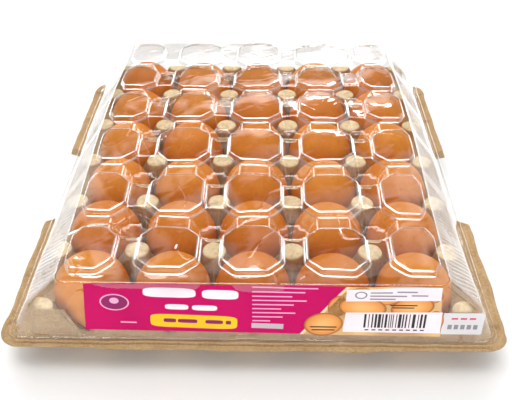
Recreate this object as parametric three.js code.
// A thirty egg tray of moulded pulp with its eggs, shut by a clear formed lid with a label on its front wall.
// Millimetres, +Z up. The origin is the middle of the tray's base, X runs along a row of five eggs,
// and -Y is the front, where the label is.
import * as THREE from 'three';

// Egg places
const PITCH = 48;
const COLUMNS = 5;
const ROWS = 6;
const HALF_X = (COLUMNS * PITCH) / 2;
const HALF_Y = (ROWS * PITCH) / 2;

// Eggs, blunt end up, each a little different
const EGG_RADIUS = 22.6;
const EGG_LENGTH = 56.6;
const EGG_BLUNTNESS = 0.12;
const EGG_RADIUS_SPREAD = 0.5;
const EGG_LENGTH_SPREAD = 1.2;
const EGG_LEAN_DEG = 2;
const EGG_SEAT_Z = 19;
const EGG_CENTRE_Z = 33;
const EGG_SIDES = 12;
const EGG_RINGS = 5;

// Moulded pulp tray
const PULP = 2.2;
const POST_TOP_Z = 48;
const POST_TOP_RADIUS = 7.5;
const SADDLE_Z = 27;
const CUP_FLOOR_RADIUS = 8.5;
const CUP_WALL_Z = 17;
const CUP_WALL_HALF_WIDTH = 18.3;
const CUP_WALL_CORNER_RADIUS = 21;
const CUP_SIDES = 12;
const NOTCH_HALF_LENGTH = 42;

// The walls outside the outermost posts, as distances out from the posts' centres
const END_WALL = { top: 1.8, foot: 3.4, blockHalfWidth: 9 };
const SIDE_WALL = { saddleTop: 2.5, saddleFoot: 9, shoulderFoot: 11.5, postFoot: 15.5 };
const POST_FOOT_HALF_WIDTH = 10.5;
const CORNER_BLOCK = { top: [3, 0.6], foot: [8, 2.2] };
const FOOT_ABOVE_TROUGH = 0.8;

// The tray's rim, ring by ring, as distances out from the outermost posts and heights
const RIM = {
  trough: { side: 22, notch: 16.8, end: 4.8, z: 25 },
  bead: { side: 26.5, notch: 18.4, end: 6.6, z: 26.9 },
  lip: { side: 29.5, notch: 20.2, end: 8.2, z: 20.6 },
};
const RIM_CORNER = { length: 13, cut: 3.9 };
const RIM_STEP = 12;

// Clear lid. Its top has a hump behind the middle and falls to the front and back edges.
const FILM = 0.6;
const LID_END_Z = 68.6;
const LID_HUMP = { height: 8.8, y: 15, reach: 62 };
const DOME_HALF = { x: 18, y: 18.6 };
const DOME_EDGE_HALF = { x: 9.5, y: 10.5 };
const DOME_HEIGHT = 3;
const DOME_DRAFT = 0.8;
const DOME_CORNER_DRAFT = 0.32;
const WELL_DEPTH = 9;
const WELL_FLOOR_HALF = 7;
const LID_TOP_HALF_X = 108;
const LID_TOP_HALF_Y = 145;
const LID_SHOULDER = { x: 1, y: 0.4, z: 0.7 };
const LID_KNEE = { halfX: 129.5, z: 48 };
const LID_FOOT_HALF_X = 139;
const LID_FOOT_HALF_Y = 149;
const LID_FOOT_Z = 28.3;
const LID_FLANGE = 2.6;
const LID_CORNER_CUT = 1.2;

// Label and price-gun sticker on the lid's front wall
const PAPER = 0.25;
const SKIN_GAP = 0.3;
const LABEL = { left: -95, right: 106, bottom: 32.2, top: 67.8 };
const STICKER = { left: 107, right: 130, bottom: 33.5, top: 49.5 };

const PULP_FINISH = { color: 0xc8ab84, roughness: 0.95, metalness: 0 };
const EGG_FINISH = { color: 0xd98a4b, roughness: 0.55, metalness: 0 };
const FILM_FINISH = { color: 0xf4f6f8, roughness: 0.08, metalness: 0, transparent: true, opacity: 0.3 };
const LABEL_FINISH = { color: 0xd8087e, roughness: 0.35, metalness: 0 };
const STICKER_FINISH = { color: 0xd9d6d8, roughness: 0.6, metalness: 0 };

const point = (x, y, z) => new THREE.Vector3(x, y, z);

// A repeatable number from 0 to 1 for an egg and a trait of it
function draw(egg, trait) {
  const wave = Math.sin(egg * 12.9898 + trait * 78.233) * 43758.5453;
  return wave - Math.floor(wave);
}

const spread = (egg, trait, amount) => (2 * draw(egg, trait) - 1) * amount;

// An open surface gathered face by face, whose equal corners are one vertex
class Surface {
  constructor() {
    this.points = [];
    this.faces = [];
    this.index = new Map();
  }

  vertex(p) {
    const key = [p.x, p.y, p.z].map((value) => Math.round(value * 1000)).join();
    if (!this.index.has(key)) {
      this.index.set(key, this.points.length);
      this.points.push(p.clone());
    }
    return this.index.get(key);
  }

  triangle(a, b, c) {
    const face = [this.vertex(a), this.vertex(b), this.vertex(c)];
    if (new Set(face).size === 3) this.faces.push(face);
  }

  // A band between two closed rings with their own numbers of points, both counter-clockwise from above;
  // at each step the ring that lags behind moves on. angle tells how far along a point lies.
  zip(inner, outer, angle) {
    let i = 0;
    let j = 0;
    while (i < inner.length || j < outer.length) {
      const here = inner[i % inner.length];
      const there = outer[j % outer.length];
      const nextInner = i < inner.length ? angle(inner, i + 1) : Infinity;
      const nextOuter = j < outer.length ? angle(outer, j + 1) : Infinity;
      if (nextInner < nextOuter) {
        this.triangle(here, there, inner[(i + 1) % inner.length]);
        i += 1;
      } else {
        this.triangle(here, there, outer[(j + 1) % outer.length]);
        j += 1;
      }
    }
  }

  // A flat cap inside a ring
  cap(ring) {
    for (let i = 1; i < ring.length - 1; i += 1) this.triangle(ring[0], ring[i], ring[i + 1]);
  }

  // The move that takes each vertex to the far side of a wall of the given thickness: the vector
  // that stands that far off all faces round the vertex, in the least squares sense
  insets(thickness) {
    const sums = this.points.map(() => ({ m: new Array(9).fill(0), v: point(0, 0, 0) }));
    const softness = 0.004;
    const longestMove = 2.6 * thickness;
    for (const face of this.faces) {
      const [a, b, c] = face.map((i) => this.points[i]);
      const normal = b.clone().sub(a).cross(c.clone().sub(a));
      const weight = Math.sqrt(normal.length());
      normal.normalize();
      const n = normal.toArray();
      for (const i of face) {
        for (let row = 0; row < 3; row += 1) {
          for (let column = 0; column < 3; column += 1) {
            sums[i].m[row * 3 + column] += weight * n[row] * n[column];
          }
        }
        sums[i].v.addScaledVector(normal, weight);
      }
    }
    return sums.map(({ m, v }) => {
      const weight = (m[0] + m[4] + m[8]) * softness;
      const system = new THREE.Matrix3().set(m[0] + weight, m[1], m[2], m[3], m[4] + weight, m[5],
        m[6], m[7], m[8] + weight);
      const mean = v.clone().normalize();
      const move = v.clone().addScaledVector(mean, weight).multiplyScalar(thickness);
      return move.applyMatrix3(system.invert()).clampLength(0, longestMove);
    });
  }

  // The closed wall between this surface and its copy on the far side, joined round the open edges.
  // settle corrects a far point, given with its near one.
  wall(thickness, settle = (far) => far) {
    const moves = this.insets(thickness);
    const far = this.points.map((p, i) => settle(p.clone().sub(moves[i]), p));
    const positions = [];
    const add = (...corners) => corners.forEach((p) => positions.push(p.x, p.y, p.z));
    const edges = new Map();
    for (const [a, b, c] of this.faces) {
      add(this.points[a], this.points[b], this.points[c]);
      add(far[a], far[c], far[b]);
      for (const [from, to] of [[a, b], [b, c], [c, a]]) {
        if (!edges.delete(`${to},${from}`)) edges.set(`${from},${to}`, [from, to]);
      }
    }
    for (const [from, to] of edges.values()) {
      add(this.points[to], this.points[from], far[from]);
      add(this.points[to], far[from], far[to]);
    }
    const geometry = new THREE.BufferGeometry();
    geometry.setAttribute('position', new THREE.Float32BufferAttribute(positions, 3));
    return geometry;
  }
}

const turned = (p, centre) => {
  const angle = Math.atan2(p.y - centre.y, p.x - centre.x);
  return angle < -1e-6 ? angle + 2 * Math.PI : Math.max(angle, 0);
};

// How far round its centre the point after a full turn lies
function angleAbout(centre) {
  return (ring, i) => (i >= ring.length ? 2 * Math.PI + 1e-3 : turned(ring[i], centre));
}

function cellCentres() {
  const centres = [];
  for (let row = 0; row < ROWS; row += 1) {
    for (let column = 0; column < COLUMNS; column += 1) {
      centres.push(point((column + 0.5) * PITCH - HALF_X, (row + 0.5) * PITCH - HALF_Y, 0));
    }
  }
  return centres;
}

// One quarter of a ring, given from the +X axis up to just before the +Y axis, turned to all four quarters
function quarters(corner) {
  const ring = [];
  for (let quarter = 0; quarter < 4; quarter += 1) {
    const cos = [1, 0, -1, 0][quarter];
    const sin = [0, 1, 0, -1][quarter];
    for (const p of corner) ring.push(point(p.x * cos - p.y * sin, p.x * sin + p.y * cos, p.z));
  }
  return ring;
}

const moved = (ring, centre) => ring.map((p) => p.clone().add(centre));

// One cup: a flat floor, walls that are flat towards the neighbours and round towards the posts,
// and an edge that rises from the low saddles to a quarter of each post's top
function addCup(surface, centre) {
  const half = PITCH / 2;
  const diagonal = half - POST_TOP_RADIUS * Math.SQRT1_2;
  const floor = [];
  const wall = [];
  for (let side = 0; side < CUP_SIDES; side += 1) {
    const angle = (side / CUP_SIDES) * 2 * Math.PI;
    const radius = side % 3 === 0 ? CUP_WALL_HALF_WIDTH : CUP_WALL_CORNER_RADIUS;
    floor.push(point(CUP_FLOOR_RADIUS * Math.cos(angle), CUP_FLOOR_RADIUS * Math.sin(angle), PULP));
    wall.push(point(radius * Math.cos(angle), radius * Math.sin(angle), CUP_WALL_Z));
  }
  const edge = quarters([
    point(half, 0, SADDLE_Z),
    point(half, half - POST_TOP_RADIUS, POST_TOP_Z),
    point(diagonal, diagonal, POST_TOP_Z),
    point(half - POST_TOP_RADIUS, half, POST_TOP_Z),
  ]);
  surface.cap(moved(floor, centre));
  surface.zip(moved(floor, centre), moved(wall, centre), angleAbout(centre));
  surface.zip(moved(wall, centre), moved(edge, centre), angleAbout(centre));
  for (let quarter = 0; quarter < 4; quarter += 1) {
    const [a, b, c] = [1, 2, 3].map((step) => edge[quarter * 4 + step]);
    const post = point(Math.sign(b.x) * half, Math.sign(b.y) * half, POST_TOP_Z);
    const [top, first, middle, last] = moved([post, a, b, c], centre);
    surface.triangle(first, top, middle);
    surface.triangle(middle, top, last);
  }
}

// The places round the block of cells, counter-clockwise from the front left corner. Each has its post or
// saddle, the side that it is on, and how far it lies from its post: -1 before it, 0 at it and 1 after it.
function blockEdge() {
  const corners = [[-1, -1], [1, -1], [1, 1], [-1, 1]];
  const counts = [COLUMNS, ROWS, COLUMNS, ROWS];
  const places = [];
  corners.forEach(([sx, sy], side) => {
    const along = [point(1, 0, 0), point(0, 1, 0), point(-1, 0, 0), point(0, -1, 0)][side];
    const out = [point(0, -1, 0), point(1, 0, 0), point(0, 1, 0), point(-1, 0, 0)][side];
    for (let cell = 0; cell < counts[side]; cell += 1) {
      const post = point(sx * HALF_X, sy * HALF_Y, 0).addScaledVector(along, cell * PITCH);
      const next = post.clone().addScaledVector(along, PITCH);
      const corner = cell === 0;
      places.push({ kind: 'post', post, along, out, corner, turn: point(sx, sy, 0), after: 0 });
      places.push({ kind: 'shoulder', post, along, out, corner, turn: point(sx, sy, 0), after: 1 });
      places.push({ kind: 'saddle', post, along, out, corner: false, after: 0 });
      places.push({
        kind: 'shoulder', post: next, along, out, corner: cell === counts[side] - 1,
        turn: point(...corners[(side + 1) % 4], 0), after: -1,
      });
    }
  });
  return places;
}

const isSide = (place) => place.out.x !== 0;

const cornerPoint = (turn, [x, y], z) => point(turn.x * (HALF_X + x), turn.y * (HALF_Y + y), z);

// A ring of the rim. The ends are straight, the sides step in at the finger notch, and the corners are cut.
function rimRing(places, ring) {
  return places.map((place) => {
    const { kind, post, along, out, corner, turn, after } = place;
    if (corner && kind === 'post') {
      return cornerPoint(turn, [ring.side - RIM_CORNER.cut, ring.end - RIM_CORNER.cut], ring.z);
    }
    const step = { post: 0, shoulder: after * RIM_STEP, saddle: PITCH / 2 }[kind];
    const p = post.clone().addScaledVector(along, step);
    const notched = isSide(place) && Math.abs(p.y) < NOTCH_HALF_LENGTH;
    const distance = isSide(place) ? (notched ? ring.notch : ring.side) : ring.end;
    p.addScaledVector(out, distance).setZ(ring.z);
    if (corner) {
      const reach = (isSide(place) ? HALF_Y + ring.end : HALF_X + ring.side) - RIM_CORNER.length;
      if (isSide(place)) p.y = turn.y * reach;
      else p.x = turn.x * reach;
    }
    return p;
  });
}

// The pulp outside the outermost posts: steep walls at the ends, sloping posts at the sides, then the rim
function addMargin(surface) {
  const places = blockEdge();
  const block = places.map(({ kind, post, along, after }) => {
    const step = { post: 0, shoulder: after * POST_TOP_RADIUS, saddle: PITCH / 2 }[kind];
    return post.clone().addScaledVector(along, step).setZ(kind === 'saddle' ? SADDLE_Z : POST_TOP_Z);
  });
  const arc = POST_TOP_RADIUS * Math.SQRT1_2;
  const top = places.map((place, i) => {
    const { kind, post, along, out, corner, turn, after } = place;
    if (corner && kind === 'post') return cornerPoint(turn, CORNER_BLOCK.top, POST_TOP_Z);
    if (!isSide(place)) {
      const width = kind === 'shoulder' ? END_WALL.blockHalfWidth - POST_TOP_RADIUS : 0;
      return block[i].clone().addScaledVector(out, END_WALL.top).addScaledVector(along, after * width);
    }
    if (kind === 'saddle') return block[i].clone().addScaledVector(out, SIDE_WALL.saddleTop);
    const reach = kind === 'post' ? POST_TOP_RADIUS : arc;
    return post.clone().addScaledVector(along, after * arc).addScaledVector(out, reach).setZ(POST_TOP_Z);
  });
  const footZ = RIM.trough.z + FOOT_ABOVE_TROUGH;
  const { postFoot, shoulderFoot, saddleFoot } = SIDE_WALL;
  const sideFoot = { post: postFoot, shoulder: shoulderFoot, saddle: saddleFoot };
  const foot = places.map((place) => {
    const { kind, post, along, out, corner, turn, after } = place;
    if (corner && kind === 'post') return cornerPoint(turn, CORNER_BLOCK.foot, footZ);
    const step = { post: 0, shoulder: after * POST_FOOT_HALF_WIDTH, saddle: PITCH / 2 }[kind];
    const reach = isSide(place) ? sideFoot[kind] : END_WALL.foot;
    return post.clone().addScaledVector(along, step).addScaledVector(out, reach).setZ(footZ);
  });
  const rim = [RIM.trough, RIM.bead, RIM.lip].map((ring) => rimRing(places, ring));
  const rings = [block, top, foot, ...rim];
  const inStep = (ring, i) => i;
  for (let i = 0; i + 1 < rings.length; i += 1) surface.zip(rings[i], rings[i + 1], inStep);
}

function trayGeometry() {
  const surface = new Surface();
  for (const centre of cellCentres()) addCup(surface, centre);
  addMargin(surface);
  return surface.wall(PULP, (far, near) => (near.z === PULP ? far.setZ(0) : far));
}

// The height of the bridges between the lid's domes
function bridgeLevel(y) {
  const along = (y - LID_HUMP.y) / LID_HUMP.reach;
  return LID_END_Z + LID_HUMP.height * Math.exp((-along * along) / 2);
}

// One eight sided dome over an egg, half of each bridge to its four neighbours, and a quarter of the well
// at each corner where four domes meet. Corners on the edge of the lid have no well.
function addDome(surface, centre) {
  const half = PITCH / 2;
  const at = (x, y, rise) => {
    const p = point(x + centre.x, y + centre.y, 0);
    return lidEdge(p.setZ(bridgeLevel(p.y) + rise));
  };
  const octagon = (inset, cornerInset, rise) => {
    const ring = [];
    for (const [sx, sy] of [[1, 1], [-1, 1], [-1, -1], [1, -1]]) {
      const side = at(sx * (DOME_HALF.x - inset), sy * (DOME_EDGE_HALF.y - cornerInset), rise);
      const end = at(sx * (DOME_EDGE_HALF.x - cornerInset), sy * (DOME_HALF.y - inset), rise);
      ring.push(...(sx === sy ? [side, end] : [end, side]));
    }
    return ring;
  };
  const foot = octagon(0, 0, 0);
  const crown = octagon(DOME_DRAFT, DOME_CORNER_DRAFT, DOME_HEIGHT);
  surface.cap(crown);
  surface.zip(crown, foot, (ring, i) => i);
  for (let quarter = 0; quarter < 4; quarter += 1) {
    const [sx, sy] = [[1, 1], [-1, 1], [-1, -1], [1, -1]][quarter];
    const [first, last] = [foot[quarter * 2], foot[quarter * 2 + 1]];
    const next = foot[(quarter * 2 + 2) % 8];
    const sideOut = at(sx * half, sy * DOME_EDGE_HALF.y, 0);
    const endOut = at(sx * DOME_EDGE_HALF.x, sy * half, 0);
    const [firstOut, lastOut] = sx === sy ? [sideOut, endOut] : [endOut, sideOut];
    const nextOut = sx === sy
      ? at(-sx * DOME_EDGE_HALF.x, sy * half, 0)
      : at(sx * half, -sy * DOME_EDGE_HALF.y, 0);
    surface.triangle(last, lastOut, nextOut);
    surface.triangle(last, nextOut, next);
    const onSide = Math.abs(centre.x + sx * half) > HALF_X - 1;
    const onEdge = onSide || Math.abs(centre.y + sy * half) > HALF_Y - 1;
    if (onEdge) {
      const corner = at(sx * half, sy * half, 0);
      surface.triangle(first, firstOut, corner);
      surface.triangle(first, corner, last);
      surface.triangle(last, corner, lastOut);
    } else {
      const reach = half - WELL_FLOOR_HALF;
      const corner = at(sx * half, sy * half, -WELL_DEPTH);
      const sideFloor = at(sx * half, sy * reach, -WELL_DEPTH);
      const endFloor = at(sx * reach, sy * half, -WELL_DEPTH);
      const [firstFloor, lastFloor] = sx === sy ? [sideFloor, endFloor] : [endFloor, sideFloor];
      surface.triangle(first, firstOut, firstFloor);
      surface.triangle(first, firstFloor, lastFloor);
      surface.triangle(first, lastFloor, last);
      surface.triangle(last, lastFloor, lastOut);
      surface.triangle(firstFloor, corner, lastFloor);
    }
  }
}

// The lid's top is narrower than the block of cups, so the outer halves of its outer columns are squeezed
function squeezed(x) {
  const start = HALF_X - PITCH / 2;
  const share = (LID_TOP_HALF_X - start) / (HALF_X - start);
  const past = Math.max(Math.abs(x) - start, 0);
  return Math.sign(x) * (Math.min(Math.abs(x), start) + past * share);
}

// A point on the outer border of the block of domes moves to the edge of the lid's top
function lidEdge(p) {
  const onX = Math.abs(p.x) > HALF_X - 1;
  const onY = Math.abs(p.y) > HALF_Y - 1;
  p.x = squeezed(p.x);
  if (onX) p.x = Math.sign(p.x) * (LID_TOP_HALF_X - (onY ? LID_CORNER_CUT : 0));
  if (onY) p.y = Math.sign(p.y) * (LID_TOP_HALF_Y - (onX ? LID_CORNER_CUT : 0));
  return p;
}

// A ring of the lid's wall, through the same places as the border of the domes
function lidRing(halfX, halfY, height) {
  const ring = [];
  const corners = [[-1, -1], [1, -1], [1, 1], [-1, 1]];
  corners.forEach(([sx, sy], side) => {
    const along = [point(1, 0, 0), point(0, 1, 0), point(-1, 0, 0), point(0, -1, 0)][side];
    const atEnd = side % 2 === 0;
    const count = atEnd ? COLUMNS : ROWS;
    const near = atEnd ? DOME_EDGE_HALF.x : DOME_EDGE_HALF.y;
    for (let cell = 0; cell < count; cell += 1) {
      for (const step of [0, PITCH / 2 - near, PITCH / 2 + near]) {
        const p = point(sx * HALF_X, sy * HALF_Y, 0).addScaledVector(along, cell * PITCH + step);
        const corner = cell === 0 && step === 0;
        const cut = corner ? LID_CORNER_CUT : 0;
        const z = height(p.y);
        if (atEnd || corner) p.y = sy * (halfY - cut);
        p.x = !atEnd || corner ? Math.sign(p.x) * (halfX - cut) : squeezed(p.x);
        ring.push(p.setZ(z));
      }
    }
  });
  return ring;
}

// Where the lid's front wall stands at a height
function frontWallY(z) {
  const rise = bridgeLevel(-LID_TOP_HALF_Y) - LID_SHOULDER.z - LID_FOOT_Z;
  const run = LID_FOOT_HALF_Y - LID_TOP_HALF_Y - LID_SHOULDER.y;
  return -LID_FOOT_HALF_Y + (run * (z - LID_FOOT_Z)) / rise;
}

function lidGeometry() {
  const surface = new Surface();
  for (const centre of cellCentres()) addDome(surface, centre);
  const shoulder = { x: LID_TOP_HALF_X + LID_SHOULDER.x, y: LID_TOP_HALF_Y + LID_SHOULDER.y };
  const rings = [
    lidRing(LID_TOP_HALF_X, LID_TOP_HALF_Y, bridgeLevel),
    lidRing(shoulder.x, shoulder.y, (y) => bridgeLevel(y) - LID_SHOULDER.z),
    lidRing(LID_KNEE.halfX, -frontWallY(LID_KNEE.z), () => LID_KNEE.z),
    lidRing(LID_FOOT_HALF_X, LID_FOOT_HALF_Y, () => LID_FOOT_Z),
    lidRing(LID_FOOT_HALF_X + LID_FLANGE, LID_FOOT_HALF_Y + LID_FLANGE, () => LID_FOOT_Z),
  ];
  for (let i = 0; i + 1 < rings.length; i += 1) surface.zip(rings[i], rings[i + 1], (ring, k) => k);
  return surface.wall(FILM);
}

// Half of the egg's outline turned about Z: its radius is that of an oval, wider in the upper half
function eggGeometry(radius, length) {
  const outline = [new THREE.Vector2(0, -length / 2)];
  for (let ring = 1; ring <= EGG_RINGS; ring += 1) {
    const angle = Math.PI * (1 - (ring - 0.25) / (EGG_RINGS + 0.5));
    const width = radius * Math.sin(angle) * (1 + EGG_BLUNTNESS * Math.cos(angle));
    outline.push(new THREE.Vector2(width, (length / 2) * Math.cos(angle)));
  }
  outline.push(new THREE.Vector2(0, length / 2));
  const geometry = new THREE.LatheGeometry(outline, EGG_SIDES);
  geometry.rotateX(Math.PI / 2);
  geometry.translate(0, 0, EGG_CENTRE_Z - EGG_SEAT_Z);
  return geometry;
}

// A thin sheet of paper on the lid's front wall, following its slope
function skinGeometry(area) {
  const outline = new THREE.Shape([
    new THREE.Vector2(frontWallY(area.bottom) - SKIN_GAP, area.bottom),
    new THREE.Vector2(frontWallY(area.top) - SKIN_GAP, area.top),
    new THREE.Vector2(frontWallY(area.top) - SKIN_GAP - PAPER, area.top),
    new THREE.Vector2(frontWallY(area.bottom) - SKIN_GAP - PAPER, area.bottom),
  ]);
  const depth = area.right - area.left;
  const geometry = new THREE.ExtrudeGeometry(outline, { depth, bevelEnabled: false });
  geometry.rotateY(Math.PI / 2);
  geometry.rotateX(Math.PI / 2);
  geometry.translate(area.left, 0, 0);
  return geometry;
}

function named(name, geometry, finish) {
  const mesh = new THREE.Mesh(geometry, new THREE.MeshStandardMaterial(finish));
  mesh.name = name;
  return mesh;
}

const carton = new THREE.Group();
carton.add(named('tray', trayGeometry(), PULP_FINISH));
cellCentres().forEach((centre, egg) => {
  const row = Math.floor(egg / COLUMNS) + 1;
  const column = (egg % COLUMNS) + 1;
  const radius = EGG_RADIUS + spread(egg, 1, EGG_RADIUS_SPREAD);
  const length = EGG_LENGTH + spread(egg, 2, EGG_LENGTH_SPREAD);
  const lean = THREE.MathUtils.degToRad(EGG_LEAN_DEG);
  const mesh = named(`egg_r${row}_c${column}`, eggGeometry(radius, length), EGG_FINISH);
  mesh.position.set(centre.x, centre.y, EGG_SEAT_Z);
  mesh.rotation.set(spread(egg, 3, lean), spread(egg, 4, lean), 2 * Math.PI * draw(egg, 5));
  carton.add(mesh);
});
carton.add(named('lid', lidGeometry(), FILM_FINISH));
carton.add(named('label', skinGeometry(LABEL), LABEL_FINISH));
carton.add(named('date_sticker', skinGeometry(STICKER), STICKER_FINISH));

export default carton;
